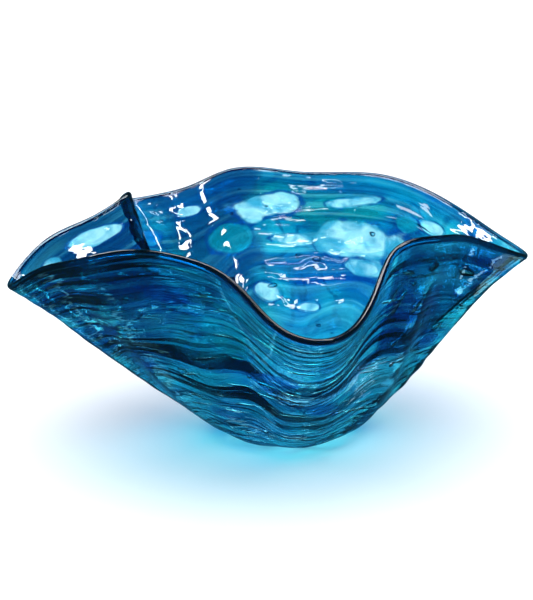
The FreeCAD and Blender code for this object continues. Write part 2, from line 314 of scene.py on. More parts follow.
# Zones where the wall's colour is darker: how dark against the pocket, then the patch.
DEEP_ZONES = [
    (0.30, (0.80, 0.10, 184.0, 10.0, 262.0, 16.0)),     # a band under the lip of the left lobe
    (0.60, (0.50, 0.20, 92.0, 18.0, 136.0, 10.0)),      # the back wall beside the fold
    (0.35, (0.45, 0.20, 146.0, 8.0, 190.0, 8.0)),       # the flap of the left tip
]


def patch_depth(azimuth, rise, patch, raised=0.0):
    """How far inside a patch a point lies: below 0 outside it, 1 where it has fully set in."""
    bottom, bottom_fade, start, start_fade, end, end_fade = patch
    sides = np.minimum((azimuth - start) / start_fade, (end - azimuth) / end_fade)
    return np.minimum((rise - (bottom + raised)) / bottom_fade, sides)


def pocket_depth(azimuth, rise):
    """How far inside the dark pocket of the right lobe a point lies; below 0 outside it."""
    start, width, height = POCKET_TAIL
    raised = height * np.clip((azimuth - start) / width, 0, 1) ** 2
    return patch_depth(azimuth, rise, POCKET, raised)


def deep_zones(azimuth, rise):
    """Where the wall's colour is darker: above 0 inside, 1 well inside."""
    deepest = pocket_depth(azimuth, rise)
    for share, patch in DEEP_ZONES:
        deepest = np.maximum(deepest, share * np.clip(patch_depth(azimuth, rise, patch), -1, 1))
    return np.clip(deepest, -1.0, 1.0)


def pocket_halo(azimuth, rise):
    """The paler band round the dark pocket: 1 beside its boundary, 0 away from it."""
    start, start_fade, end, end_fade = HALO
    inside = pocket_depth(azimuth, rise)
    return np.clip((inside - start) / start_fade, 0, 1) * np.clip((end - inside) / end_fade, 0, 1)


def make_glass_wall():
    """The clear glass of the wall, inside and out, as one closed skin with its hand-made ripples."""
    azimuth = np.arange(ROUND) * 360.0 / ROUND
    rises = np.linspace(0.0, 1.0, UP_WALL + 1)
    rows, flows, faces, deeps, halos = [], [], [], [], []

    def add(points, depth, face, rise=0.0):
        rows.append(points)
        flows.append(flow_of(azimuth, depth))
        faces.append(np.full(ROUND, float(face)))
        deeps.append(deep_zones(azimuth, rise))
        halos.append(pocket_halo(azimuth, rise))

    ones = np.ones(ROUND)
    foot_depth = depth_below_lip(azimuth, 0 * ones)
    # Outside: the flat foot, then up the wall.
    under = middle(azimuth, 0 * ones) + directions(azimuth, 0 * ones)[1] * outside_offset(0 * ones)[:, None]
    for ring in range(1, DISC_RINGS):
        share = ring / DISC_RINGS
        dish = FOOT_DISH * (1 - share ** 2)
        add(under * [share, share, 1] - [0, 0, dish], foot_depth + FOOT_RADIUS * (1 - share), 0)
    for rise in rises:
        level = rise * ones
        outward = directions(azimuth, level)[1]
        offset = outside_offset(level) + ripple(0, azimuth, level)
        add(middle(azimuth, level) + outward * offset[:, None], depth_below_lip(azimuth, level), 0, rise)
    # Over the cut edge, hidden in the lip wrap.
    up, outward = directions(azimuth, ones)
    edge = middle(azimuth, ones)
    for step in range(1, EDGE_ROWS):
        swing = math.pi * step / EDGE_ROWS
        half = outside_offset(ones)
        lift = 0.5 * half * math.sin(swing)
        add(edge + outward * (half * math.cos(swing))[:, None] + up * lift[:, None], 0 * ones, 0, 1.0)
    # Inside: down the wall, then across the flat floor.
    for rise in rises[::-1]:
        level = rise * ones
        outward = directions(azimuth, level)[1]
        offset = inside_offset(level) - ripple(1, azimuth, level)
        add(middle(azimuth, level) + outward * offset[:, None], depth_below_lip(azimuth, level), 1, rise)
    floor = middle(azimuth, 0 * ones) + directions(azimuth, 0 * ones)[1] * inside_offset(0 * ones)[:, None]
    for ring in range(DISC_RINGS - 1, 0, -1):
        share = ring / DISC_RINGS
        add(floor * [share, share, 1], foot_depth + FOOT_RADIUS * (1 - share), 1)
    wall = grid_mesh("glass_wall", rows, True)
    ends = np.array([flows[0].mean(0), flows[-1].mean(0)])
    set_vectors(wall, "flow", np.concatenate([np.concatenate(flows), ends]))
    set_values(wall, "face", np.concatenate([np.concatenate(faces), [0.0, 1.0]]))
    set_values(wall, "deep", np.concatenate([np.concatenate(deeps), [-1.0, -1.0]]))
    set_values(wall, "halo", np.concatenate([np.concatenate(halos), [0.0, 0.0]]))
    points = np.concatenate([np.concatenate(rows), np.zeros((2, 3))])
    for name, (start, spread) in CHIP_KINDS.items():
        names = [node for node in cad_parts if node.startswith(start)]
        set_values(wall, name, window_masks(points, names, spread))
    return wall


def make_lip_bead():
    """The dark thread of glass laid round the cut edge, a little uneven as it is laid by hand."""
    azimuth = np.arange(BEAD_ROUND) * 360.0 / BEAD_ROUND
    ones = np.ones(BEAD_ROUND)
    up, outward = directions(azimuth, ones)
    edge = middle(azimuth, ones)
    half = outside_offset(ones)
    uneven = 1 + BEAD_UNEVENNESS * Waves(5, count=8, round_waves=14, depth_length=1.0)(azimuth, 0 * ones)
    rise = bead_rise(azimuth)
    skirt = BEAD_SKIRT * np.clip(uneven, 0.6, 1.4)
    rows, crests = [], []
    for step in range(BEAD_SECTION):
        swing = -math.pi / 2 + math.pi * step / (BEAD_SECTION - 1)
        across = (half + BEAD_LAP) * math.sin(swing)
        rows.append(edge + outward * across[:, None] + up * (rise * math.cos(swing))[:, None])
        crests.append(math.cos(swing))
    # The skirt laps down over both faces of the wall and closes inside it.
    for share, drop in ((1.0, 1.0), (0.45, 0.75), (-0.45, 0.75), (-1.0, 1.0)):
        across = (half + BEAD_LAP) * share
        rows.append(edge + outward * across[:, None] - up * (skirt * drop)[:, None])
        crests.append(-drop)
    # The rows run from the inside face over the top to the outside face, then back under the edge.
    bead = grid_mesh("lip_bead", rows[::-1], False)
    flow = np.concatenate([flow_of(azimuth, 0 * ones + BEAD_FLOW * row) for row in range(len(rows))])
    set_vectors(bead, "flow", flow)
    set_values(bead, "crest", np.repeat(crests[::-1], BEAD_ROUND))
    return bead


# Azimuth in degrees, rise, length and width in mm, and turn in degrees of the larger air bubbles.
BUBBLES = [
    (351.5, 0.885, 19.0, 7.0, 0.0),
    (333.0, 0.905, 12.0, 7.5, 8.0),
    (321.5, 0.900, 12.0, 4.5, -12.0),
    (343.0, 0.925, 10.0, 3.0, 4.0),
    (329.5, 0.770, 17.0, 6.0, 52.0),
    (318.5, 0.795, 26.0, 6.0, 56.0),
    (316.0, 0.840, 18.0, 3.5, 60.0),
    (354.0, 0.660, 11.0, 5.0, 40.0),
    (334.0, 0.790, 6.0, 4.0, 10.0),
    (345.0, 0.785, 5.0, 3.0, 15.0),
    (326.0, 0.665, 14.0, 4.0, 50.0),
    (322.0, 0.645, 10.0, 4.0, 48.0),
    (325.0, 0.560, 6.0, 4.0, 30.0),
    (222.5, 0.930, 8.0, 3.5, 10.0),
    (214.0, 0.850, 7.0, 3.0, 0.0),
    (206.0, 0.880, 26.0, 3.0, -6.0),
    (198.0, 0.820, 14.0, 2.5, 0.0),
    (243.0, 0.900, 12.0, 3.5, 12.0),
    (199.0, 0.700, 9.0, 6.0, 0.0),
    (269.0, 0.575, 28.0, 4.0, 0.0),
    (262.0, 0.610, 18.0, 3.0, 4.0),
    (276.0, 0.550, 16.0, 3.0, -4.0),
    (284.0, 0.640, 22.0, 2.6, -8.0),
    (252.0, 0.520, 12.0, 3.0, 6.0),
    (236.0, 0.640, 24.0, 2.6, 10.0),
    (226.0, 0.560, 16.0, 2.6, 8.0),
    (78.0, 0.700, 8.0, 5.0, 0.0),
    (112.0, 0.640, 7.0, 5.0, 0.0),
    (60.0, 0.800, 6.0, 4.0, 20.0),
    (95.0, 0.600, 9.0, 4.0, -10.0),
    (138.0, 0.760, 8.0, 4.0, 0.0),
]
SCATTER = 8                         # seed of the random scatter
SEED_BUBBLES = 46                   # fine bubbles scattered all over
AIR_LINES = 90                      # air drawn out into fine threads on the front of the bowl
BUBBLE_DEPTH = 1.8 * MM             # half the thickness of a large bubble
FLATNESS = 0.40                     # half the thickness of a small one, as a share of its width
TAIL = 0.35                         # how much narrower one end is drawn than the other


def bubble_shell(azimuth, rise, length, width, turn):
    """Points, lifts (-1 at the lower edge, 1 at the upper) and faces of one flattened bubble.

    It lies in the middle of the wall, and its faces look into the air.
    """
    azimuth, rise = np.array(azimuth), np.array(rise)
    up, outward = directions(azimuth, rise)
    along = np.cross(up, outward)
    turn = math.radians(turn)
    first = along * math.cos(turn) + up * math.sin(turn)
    second = np.cross(outward, first)
    depth = min(BUBBLE_DEPTH, FLATNESS * width)
    points, lifts, faces = [], [], []
    for ring in range(1, BUBBLE_RINGS):
        polar = math.pi * ring / BUBBLE_RINGS
        for spoke in range(BUBBLE_SPOKES):
            swing = 2 * math.pi * spoke / BUBBLE_SPOKES
            # One end is drawn out into a tail.
            tail = 1 - TAIL * math.sin(polar) * math.cos(swing)
            lifts.append(math.sin(polar) * math.sin(swing))
            points.append(0.5 * length * math.sin(polar) * math.cos(swing) * first
                          + 0.5 * width * tail * math.sin(polar) * math.sin(swing) * second
                          + depth * tail * math.cos(polar) * outward)
    points += [depth * outward, -depth * outward]
    lifts += [0.0, 0.0]
    for ring in range(BUBBLE_RINGS - 2):
        for spoke in range(BUBBLE_SPOKES):
            a = ring * BUBBLE_SPOKES + spoke
            b = ring * BUBBLE_SPOKES + (spoke + 1) % BUBBLE_SPOKES
            faces.append((a, b, b + BUBBLE_SPOKES, a + BUBBLE_SPOKES))
    top, bottom = len(points) - 2, len(points) - 1
    last = (BUBBLE_RINGS - 2) * BUBBLE_SPOKES
    for spoke in range(BUBBLE_SPOKES):
        after = (spoke + 1) % BUBBLE_SPOKES
        faces.append((top, after, spoke))
        faces.append((bottom, last + spoke, last + after))
    return np.array(points) + middle(azimuth, rise), lifts, faces


def make_bubbles():
    """All the air bubbles in the wall as one piece: the placed ones and a scatter of fine seeds."""
    source = np.random.RandomState(SCATTER)
    rows = [(a, r, l * MM, w * MM, t) for a, r, l, w, t in BUBBLES]
    for _ in range(SEED_BUBBLES):
        length = source.uniform(1.6, 5.0) * MM
        rows.append((source.uniform(0, 360), source.uniform(0.25, 0.95), length,
                     length * source.uniform(0.4, 0.9), source.uniform(-10, 10)))
    for _ in range(AIR_LINES):
        rows.append((source.uniform(192, 352), source.uniform(0.38, 0.94), source.uniform(7.0, 26.0) * MM,
                     source.uniform(1.1, 2.4) * MM, source.uniform(-4, 4)))
    points, lifts, faces = [], [], []
    for row in rows:
        shell, heights, around = bubble_shell(*row)
        start = len(lifts)
        points.append(shell)
        lifts += heights
        faces += [tuple(start + corner for corner in face) for face in around]
    mesh = bpy.data.meshes.new("air_bubbles")
    mesh.from_pydata(np.concatenate(points).tolist(), [], faces)
    mesh.validate()
    mesh.shade_smooth()
    piece = bpy.data.objects.new("air_bubbles", mesh)
    bpy.context.scene.collection.objects.link(piece)
    set_values(piece, "lift", lifts)
    return piece


# ---------------------------------------------------------------- materials
class Nodes:
    """A thin helper over one node tree."""

    def __init__(self, tree):
        self.tree = tree

    def add(self, kind, inputs=None, **settings):
        node = self.tree.nodes.new(kind)
        for name, value in settings.items():
            setattr(node, name, value)
        for name, value in (inputs or {}).items():
            self.put(node.inputs[name], value)
        return node

    def put(self, socket, value):
        if isinstance(value, bpy.types.NodeSocket):
            self.tree.links.new(value, socket)
        else:
            socket.default_value = value

    def math(self, operation, first, second=0.0, clamp=False):
        node = self.add("ShaderNodeMath", operation=operation, use_clamp=clamp)
        self.put(node.inputs[0], first)
        self.put(node.inputs[1], second)
        return node.outputs[0]

    def times(self, first, second):
        return self.math("MULTIPLY", first, second)

    def plus(self, first, second):
        return self.math("ADD", first, second)

    def minus(self, first, second, clamp=False):
        return self.math("SUBTRACT", first, second, clamp)

    def attribute(self, name, output="Fac"):
        """What the mesh stores for each vertex under this name."""
        return self.add("ShaderNodeAttribute", attribute_name=name).outputs[output]

    def place(self):
        """The place in the object's own frame, which is the bowl's."""
        return self.add("ShaderNodeTexCoord").outputs["Object"]

    def axis(self, vector, name):
        return self.add("ShaderNodeSeparateXYZ", {"Vector": vector}).outputs[name]

    def gamma(self, colour, power):
        return self.add("ShaderNodeGamma", {"Color": colour, "Gamma": power}).outputs[0]

    def vector(self, operation, first, second):
        node = self.add("ShaderNodeVectorMath", operation=operation)
        self.put(node.inputs[0], first)
        self.put(node.inputs[1], second)
        return node.outputs[0]

    def noise(self, vector, scale, detail=2.0, roughness=0.5, distortion=0.0):
        node = self.add("ShaderNodeTexNoise", {"Vector": vector, "Scale": scale, "Detail": detail,
                                               "Roughness": roughness, "Distortion": distortion})
        return node.outputs["Fac"]

    def remap(self, value, low, high, to_low=0.0, to_high=1.0):
        node = self.add("ShaderNodeMapRange", {"Value": value, "From Min": low, "From Max": high,
                                               "To Min": to_low, "To Max": to_high},
                        interpolation_type="SMOOTHSTEP")
        return node.outputs["Result"]

    def mix(self, share, first, second):
        node = self.add("ShaderNodeMix", data_type="RGBA", blend_type="MIX", clamp_factor=True)
        self.put(node.inputs[0], share)
        self.put(node.inputs[6], first)
        self.put(node.inputs[7], second)
        return node.outputs[2]

    def ramp(self, value, stops):
        node = self.add("ShaderNodeValToRGB")
        elements = node.color_ramp.elements
        while len(elements) < len(stops):
            elements.new(0.5)
        for element, (place, colour) in zip(elements, stops):
            element.position = place
            element.color = (*colour, 1.0)
        self.put(node.inputs["Fac"], value)
        return node.outputs["Color"]


def new_material(name):
    material = bpy.data.materials.new(name)
    material.use_nodes = True
    material.node_tree.nodes.clear()
    return material, Nodes(material.node_tree)


# Colours are linear. The glass is tinted by them once on each face, so thin glass has the higher numbers.
THICK_BANDS = [
    (0.27, (0.0004, 0.028, 0.150)),
    (0.38, (0.0006, 0.100, 0.310)),
    (0.46, (0.0015, 0.210, 0.410)),
    (0.55, (0.0060, 0.350, 0.520)),
    (0.68, (0.0500, 0.540, 0.660)),
]
THIN_BANDS = [
    (0.30, (0.0050, 0.110, 0.400)),
    (0.39, (0.0080, 0.290, 0.620)),
    (0.46, (0.0150, 0.500, 0.760)),
    (0.53, (0.0300, 0.700, 0.860)),
    (0.64, (0.1000, 0.880, 0.950)),
]
THICK_GREEN, THIN_GREEN = (0.0015, 0.27, 0.30, 1), (0.010, 0.50, 0.52, 1)
THICK_COBALT, THIN_COBALT = (0.0004, 0.095, 0.42, 1), (0.003, 0.25, 0.64, 1)
CONTOUR = (0.0004, 0.05, 0.25, 1)
DEEP_COLOUR = (0.0004, 0.045, 0.18, 1)
HALO_COLOUR = (0.30, 0.62, 0.72, 1)
DARK_STREAK, LIGHT_STREAK = (0.0020, 0.110, 0.370, 1), (0.14, 0.95, 1.0, 1)
# The second thread colour is painted glint: near-clear threads that stand in for the lamps' glints on the
# striae.
BLACK_THREAD, PAINTED_GLINT_THREAD = (0.0, 0.0006, 0.004, 1), (0.30, 1.0, 1.0, 1)
WINDOW_OUTLINE = (0.0005, 0.05, 0.25, 1)
WINDOW_CLOUDS = ((0.05, 0.36, 0.55, 1), (0.42, 0.74, 0.82, 1))
CLEAR_CASING = (0.42, 0.68, 0.78, 1)
FACE_PASS = (0.890, 0.925, 0.945)   # share of the lamps' light that gets through one face of glass
GLASS_IOR = 1.5
INSIDE_IOR = 1.0                    # for the pieces inside the wall, which have no mirror of their own
BUMP_HEIGHT = 2.6 * MM              # of the ripples that the material adds to the wall
SCRATCH_HEIGHT = 0.2 * MM           # of the ground face of the foot
COAT_START = 1.3                    # the coat's depth at the foot, which sets its bands off from the wall's


def stretched(nodes, flow, round_scale, depth_scale, offset):
    """Flow coordinates scaled apart round the bowl and down the wall."""
    scaled = nodes.vector("MULTIPLY", flow, (round_scale, round_scale, depth_scale))
    return nodes.vector("ADD", scaled, offset)


def drifting(nodes, flow, amount, fine):
    """Flow coordinates whose depth wanders more and more away from the lip, as the glass was dragged."""
    slow = nodes.noise(stretched(nodes, flow, 8, 8, (3, 1, 7)), 1.0, 1.0)
    quick = nodes.noise(stretched(nodes, flow, 18, 30, (9, 4, 2)), 1.0, 1.0)
    slow = nodes.times(nodes.minus(slow, 0.5), amount)
    quick = nodes.times(nodes.minus(quick, 0.5), fine)
    depth = nodes.axis(flow, "Z")
    grip = nodes.remap(depth, 0.0, 0.10, 0.15, 1.0)
    shift = nodes.times(nodes.plus(slow, quick), grip)
    return nodes.vector("ADD", flow, nodes.add("ShaderNodeCombineXYZ", {"Z": shift}).outputs[0])


def front_share(nodes, flow):
    """1 on the front of the bowl, 0 on its back, from the flow coordinates."""
    side = nodes.axis(flow, "Y")
    return nodes.remap(side, 0.035, -0.040)


def band_colour(nodes, flow, front):
    """The broad bands of the coat: navy, cobalt, turquoise and teal clouds dragged round the bowl."""
    bent = drifting(nodes, flow, 0.075, 0.016)
    bands = nodes.noise(stretched(nodes, bent, 7, 24, (1, 2, 3)), 1.0, 3.0, 0.55, 0.5)
    colour = nodes.mix(front, nodes.ramp(bands, THICK_BANDS), nodes.ramp(bands, THIN_BANDS))
    teal = nodes.noise(stretched(nodes, bent, 6, 18, (11, 5, 8)), 1.0, 2.0)
    green = nodes.mix(front, THICK_GREEN, THIN_GREEN)
    colour = nodes.mix(nodes.remap(teal, 0.51, 0.64, 0.0, 0.75), colour, green)
    cobalt = nodes.noise(stretched(nodes, bent, 7, 20, (4, 15, 1)), 1.0, 2.0)
    blue = nodes.mix(front, THICK_COBALT, THIN_COBALT)
    share = nodes.remap(cobalt, 0.53, 0.66, 0.0, 0.80)
    share = nodes.times(share, nodes.remap(front, 0, 1, 1, 0.7))
    return nodes.mix(share, colour, blue)


def cell_shade(nodes, flow):
    """Dark contour lines round the clouds, as where two gathers of colour meet; 1 on a line."""
    bent = drifting(nodes, flow, 0.05, 0.03)
    cells = nodes.noise(stretched(nodes, bent, 12, 20, (8, 3, 6)), 1.0, 1.5, 0.5, 0.9)
    turns = nodes.math("SINE", nodes.times(cells, 42.0))
    return nodes.remap(turns, 0.55, 1.0)


def deep_share(nodes, flow, face):
    """How much of the deep zones' colour one face carries, from 0 to 1, with a ragged outline.

    Most of it lies on the inner side, so that the bubbles in front of it catch light.
    """
    edge = nodes.noise(stretched(nodes, flow, 22, 30, (4, 4, 4)), 1.0, 2.0)
    edge = nodes.times(nodes.minus(edge, 0.5), 0.9)
    deep = nodes.remap(nodes.plus(nodes.attribute("deep"), edge), 0.05, 0.40)
    return nodes.times(deep, nodes.remap(face, 0.0, 1.0, 0.50, 1.0))


def colour_density(nodes, depth, front, deep, halo):
    """The power that the bands' colour is raised to: below 1 the glass is thinner, above 1 thicker."""
    # The colour is paler low down, at the front and, lower still, at the back.
    paler_front = nodes.times(nodes.remap(depth, 0.02, 0.11, 0.40, 0.80), front)
    low = nodes.times(nodes.remap(depth, 0.100, 0.145, 0.0, 0.75), nodes.minus(1.0, front))
    density = nodes.minus(nodes.remap(front, 0, 1, 1.38, 1), nodes.plus(paler_front, low))
    density = nodes.minus(density, nodes.times(halo, 0.45))
    return nodes.plus(density, nodes.times(deep, 1.2))


def with_streaks(nodes, flow, face, front, deep, colour):
    """Fine streaks and threads, dark and light, drawn over the colour of one face; the palest threads are
    painted glints.
    """
    depth = nodes.axis(flow, "Z")
    # Each face has streaks of its own.
    apart = nodes.add("ShaderNodeCombineXYZ", {"Z": nodes.times(face, 0.7)}).outputs[0]
    bent = nodes.vector("ADD", drifting(nodes, flow, 0.055, 0.003), apart)
    reach = nodes.noise(stretched(nodes, bent, 8, 14, (2, 2, 9)), 1.0, 2.0)
    # They are strong at the front, weak at the back, and weaker low down.
    strength = nodes.times(nodes.remap(reach, 0.34, 0.50, 0.70, 1.0), nodes.remap(front, 0.0, 1.0, 0.16, 1.0))
    strength = nodes.times(strength, nodes.remap(depth, 0.10, 0.17, 1.0, 0.6))
    # At the front the outer face alone carries the strong ones, so that the two sets don't blur.
    behind = nodes.times(nodes.times(face, front), 0.85)
    strength = nodes.times(strength, nodes.minus(1.0, behind))
    streaks = nodes.noise(stretched(nodes, bent, 3.0, 100, (2, 6, 4)), 1.0, 1.0, 0.45)
    threads = nodes.noise(stretched(nodes, bent, 3.5, 260, (6, 1, 2)), 1.0, 1.0, 0.5)
    dark = nodes.times(nodes.remap(streaks, 0.42, 0.37), strength)
    colour = nodes.mix(dark, colour, DARK_STREAK)
    # The light ones are lost in the deep zones.
    light = nodes.times(nodes.remap(streaks, 0.50, 0.55), strength)
    light = nodes.times(light, nodes.minus(1.0, deep, clamp=True))
    colour = nodes.mix(nodes.times(light, 0.85), colour, LIGHT_STREAK)
    black = nodes.times(nodes.remap(threads, 0.46, 0.42), strength)
    colour = nodes.mix(black, colour, BLACK_THREAD)
    # Painted glint: the palest threads stand in for the lamps' glints along the striae.
    painted_glint = nodes.times(nodes.remap(threads, 0.54, 0.57), strength)
    painted_glint = nodes.times(painted_glint, nodes.minus(1.0, nodes.times(deep, 0.75)))
    return nodes.mix(nodes.times(painted_glint, 0.95), colour, PAINTED_GLINT_THREAD)


def glass_colour(nodes, flow, face, front):
    """The tint of one face: the bands and their contours, denser in the darker zones, then the streaks and
    painted glints.
    """
    colour = band_colour(nodes, flow, front)
    lines = nodes.times(cell_shade(nodes, flow), nodes.remap(front, 0.0, 1.0, 0.45, 0.25))
    colour = nodes.mix(lines, colour, CONTOUR)
    deep = deep_share(nodes, flow, face)
    halo = nodes.attribute("halo")
    colour = nodes.gamma(colour, colour_density(nodes, nodes.axis(flow, "Z"), front, deep, halo))
    colour = nodes.mix(nodes.times(deep, 0.90), colour, DEEP_COLOUR)
    colour = nodes.mix(nodes.times(halo, 0.50), colour, HALO_COLOUR)
    return with_streaks(nodes, flow, face, front, deep, colour)


def glass_output(nodes, colour, ior, roughness=0.0, normal=None):
    """Tinted glass that lets the lamps' light through to what is behind it."""
    inputs = {"Base Color": colour, "IOR": ior, "Roughness": roughness, "Transmission Weight": 1.0}
    if normal is not None:
        inputs["Normal"] = normal
    glass = nodes.add("ShaderNodeBsdfPrincipled", inputs)
    # The glass shader tints each face by the colour's square root, so the lamps' light is tinted the same.
    root = nodes.gamma(colour, 0.5)
    passed = nodes.vector("MULTIPLY", root, FACE_PASS)
    clear = nodes.add("ShaderNodeBsdfTransparent", {"Color": passed})
    path = nodes.add("ShaderNodeLightPath")
    lamp = nodes.math("MAXIMUM", path.outputs["Is Shadow Ray"], path.outputs["Is Diffuse Ray"])
    mixed = nodes.add("ShaderNodeMixShader", {0: lamp, 1: glass.outputs[0], 2: clear.outputs[0]})
    nodes.add("ShaderNodeOutputMaterial", {"Surface": mixed.outputs[0]})


def with_windows(nodes, flow, colour):
    """The clouded windows that the chips make: a tinted middle and a dark, broken outline."""
    slow = nodes.noise(stretched(nodes, flow, 24, 34, (5, 5, 5)), 1.0, 1.0)
    quick = nodes.noise(stretched(nodes, flow, 80, 120, (2, 5, 1)), 1.0, 2.0)
    wobble = nodes.plus(nodes.times(nodes.minus(slow, 0.5), 2.2),
                        nodes.times(nodes.minus(quick, 0.5), 0.5))
    cloud = nodes.noise(stretched(nodes, flow, 40, 60, (1, 9, 5)), 1.0, 3.0, 0.6, 0.8)
    pale = nodes.mix(nodes.remap(cloud, 0.38, 0.62), *WINDOW_CLOUDS)
    tints = {
        "pale": (pale, 0.88),
        "teal": ((0.003, 0.34, 0.44, 1), 0.45),
        "cobalt": ((0.004, 0.30, 0.62, 1), 0.60),
    }
    breaks = nodes.remap(cloud, 0.42, 0.58, 0.15, 0.90)
    for name, (tint, fill) in tints.items():
        inside = nodes.attribute(name)
        inside = nodes.plus(inside, wobble)
        rim = nodes.times(nodes.remap(inside, -0.26, -0.08), nodes.remap(inside, 0.06, -0.03))
        colour = nodes.mix(nodes.times(rim, breaks), colour, WINDOW_OUTLINE)
        colour = nodes.mix(nodes.remap(inside, -0.03, 0.13, 0.0, fill), colour, tint)
    return colour


def wall_glass():
    """The wall's two faces: tinted by the streaks, paler over the windows, lightly rippled."""
    material, nodes = new_material("wall_glass")
    flow = nodes.attribute("flow", "Vector")
    face = nodes.attribute("face")
    front = front_share(nodes, flow)
    colour = with_windows(nodes, flow, glass_colour(nodes, flow, face, front))
    bent = drifting(nodes, flow, 0.070, 0.003)
    striae = nodes.noise(stretched(nodes, bent, 3, 170, (7, 7, 1)), 1.0, 2.0, 0.5)
    swirls = nodes.noise(stretched(nodes, bent, 20, 44, (1, 7, 3)), 1.0, 2.0, 0.5, 0.8)
    combed = nodes.times(striae, nodes.remap(front, 0.0, 1.0, 0.12, 0.50))
    height = nodes.plus(combed, nodes.times(swirls, nodes.remap(front, 0, 1, 1, 0.3)))
    deep = nodes.attribute("deep")
    height = nodes.times(height, nodes.remap(deep, 0.1, 0.9, 1.0, 0.25))
    depth = nodes.axis(flow, "Z")
    height = nodes.times(height, nodes.remap(depth, 0.07, 0.13, 1.0, 0.4))
    # The clear casing shows at the outline, where the glass is seen edge on.
    turning = nodes.add("ShaderNodeLayerWeight", {"Blend": 0.5}).outputs["Facing"]
    casing = nodes.times(nodes.remap(turning, 0.70, 0.96, 0.0, 0.8), nodes.remap(deep, 0.4, 0.0))
    colour = nodes.mix(casing, colour, CLEAR_CASING)
    bump = nodes.add("ShaderNodeBump", {"Height": height, "Strength": 1.0, "Distance": BUMP_HEIGHT})
    glass_output(nodes, colour, GLASS_IOR, normal=bump.outputs[0])
    return material


def coat_flow(nodes):
    """The same kind of flow coordinates, from the place alone: round the bowl, and out from the foot."""
    place = nodes.place()
    flat = nodes.vector("MULTIPLY", place, (1, 1, 0))
    turned = nodes.add("ShaderNodeVectorMath", operation="NORMALIZE")
    nodes.put(turned.inputs[0], flat)
    ring = nodes.vector("MULTIPLY", turned.outputs[0], (FLOW_RADIUS,) * 3)
    out = nodes.add("ShaderNodeVectorMath", operation="LENGTH")
    nodes.put(out.inputs[0], place)
    drop = nodes.add("ShaderNodeCombineXYZ", {"Z": nodes.minus(COAT_START, out.outputs["Value"])})
    return nodes.vector("ADD", ring, drop.outputs[0])


def coat_glass():
    """The colour coat inside the wall: the same bands in a thin tint, with no mirror of its own."""
    material, nodes = new_material("coat_glass")
    glass_output(nodes, nodes.gamma(band_colour(nodes, coat_flow(nodes), 0.0), 0.15), INSIDE_IOR)
    return material


def chip_glass(name, deep, pale):
    """A chip of other glass in the coat: clouded between two tints."""
    material, nodes = new_material(name)
    place = nodes.place()
    cloud = nodes.noise(place, 90.0, 3.0, 0.55, 0.5)
    colour = nodes.mix(nodes.remap(cloud, 0.35, 0.65), (*deep, 1), (*pale, 1))
    glass_output(nodes, colour, INSIDE_IOR)
    return material


def bead_glass():
    """The lip wrap: near-black blue glass at the front, drawn out thin and bluer at the back."""
    material, nodes = new_material("bead_glass")
    flow = nodes.attribute("flow", "Vector")
    patches = nodes.noise(stretched(nodes, flow, 14, 300, (2, 9, 4)), 1.0, 3.0, 0.6)
    dark = nodes.ramp(patches, [
        (0.35, (0.0002, 0.0010, 0.005)),
        (0.60, (0.0006, 0.0040, 0.020)),
        (0.75, (0.0020, 0.0300, 0.090)),
    ])
    thin = nodes.ramp(patches, [
        (0.35, (0.0010, 0.030, 0.110)),
        (0.50, (0.0050, 0.140, 0.300)),
        (0.70, (0.0300, 0.330, 0.480)),
    ])
    side = nodes.axis(flow, "Y")
    # The dark thread runs along the crown, and broadens in the dip at the front.
    crest = nodes.attribute("crest")
    crest = nodes.plus(crest, nodes.remap(side, -0.125, -0.150, 0.0, 0.45))
    crest = nodes.plus(crest, nodes.times(nodes.minus(patches, 0.5), 0.6))
    dark = nodes.mix(nodes.remap(crest, 0.62, 0.90), (0.0040, 0.160, 0.360, 1), dark)
    colour = nodes.mix(nodes.remap(side, -0.020, 0.030), dark, thin)
    glass_output(nodes, colour, GLASS_IOR)
    return material


def bubble_glass():
    """Air trapped in the wall: clear and bright along the upper edge, with painted shade along the lower one.
    """
    material, nodes = new_material("bubble_glass")
    place = nodes.place()
    seed = nodes.noise(place, 300.0, 1.0)
    clear = nodes.mix(seed, (0.60, 0.93, 1.0, 1), (0.95, 1.0, 1.0, 1))
    lift = nodes.attribute("lift")
    # Painted light: bubbles in the pale back wall get a paler painted shade on their lower edges, as if the
    # back wall lit them.
    behind = nodes.remap(nodes.axis(place, "Y"), -0.03, 0.03)
    shade = nodes.mix(behind, (0.0002, 0.004, 0.02, 1), (0.12, 0.50, 0.70, 1))
    # Painted shade: the lower edge of each bubble is darkened in its colour.
    colour = nodes.mix(nodes.remap(lift, 0.30, -0.40), clear, shade)
    glass_output(nodes, colour, GLASS_IOR)
    return material


def pad_glass():
    """The foot pad: clear aqua glass with a satin ground face."""
    material, nodes = new_material("pad_glass")
    place = nodes.place()
    cloud = nodes.noise(place, 40.0, 2.0)
    colour = nodes.mix(cloud, (0.45, 0.80, 0.90, 1), (0.62, 0.88, 0.95, 1))
    scratches = nodes.noise(place, 900.0, 2.0)
    bump = nodes.add("ShaderNodeBump", {"Height": scratches, "Strength": 0.15, "Distance": SCRATCH_HEIGHT})
    glass_output(nodes, colour, GLASS_IOR, roughness=0.18, normal=bump.outputs[0])
    return material


def dress(piece, material):
    """Give a piece one material all over."""
    piece.data.materials.clear()
    piece.data.materials.append(material)


def dress_cad(node, material):
    """Give a CAD node a better material in the slots that it came with."""
    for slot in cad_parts[node].material_slots:
        slot.material = material


# ---------------------------------------------------------------- studio
FLOOR_SIZE = 16.0
VIEW_ELEVATION = 18.0               # degrees
VIEW_DISTANCE = 1.3
VIEW_TARGET = (-0.015, 0.0, 0.110)
VIEW_LENS = 100.0                   # focal length in mm
WORLD_COLOUR = (0.02, 0.10, 0.16, 1)
GLASS_BOUNCES = 28                  # enough for four faces of glass and the pieces between them
SKY = (5.25, 95.0, 8.0)             # strength, spread and backward lean in degrees
STRIP_TARGET = (0.0, 0.0, 0.1)
WHITE = (1.0, 1.0, 1.0)
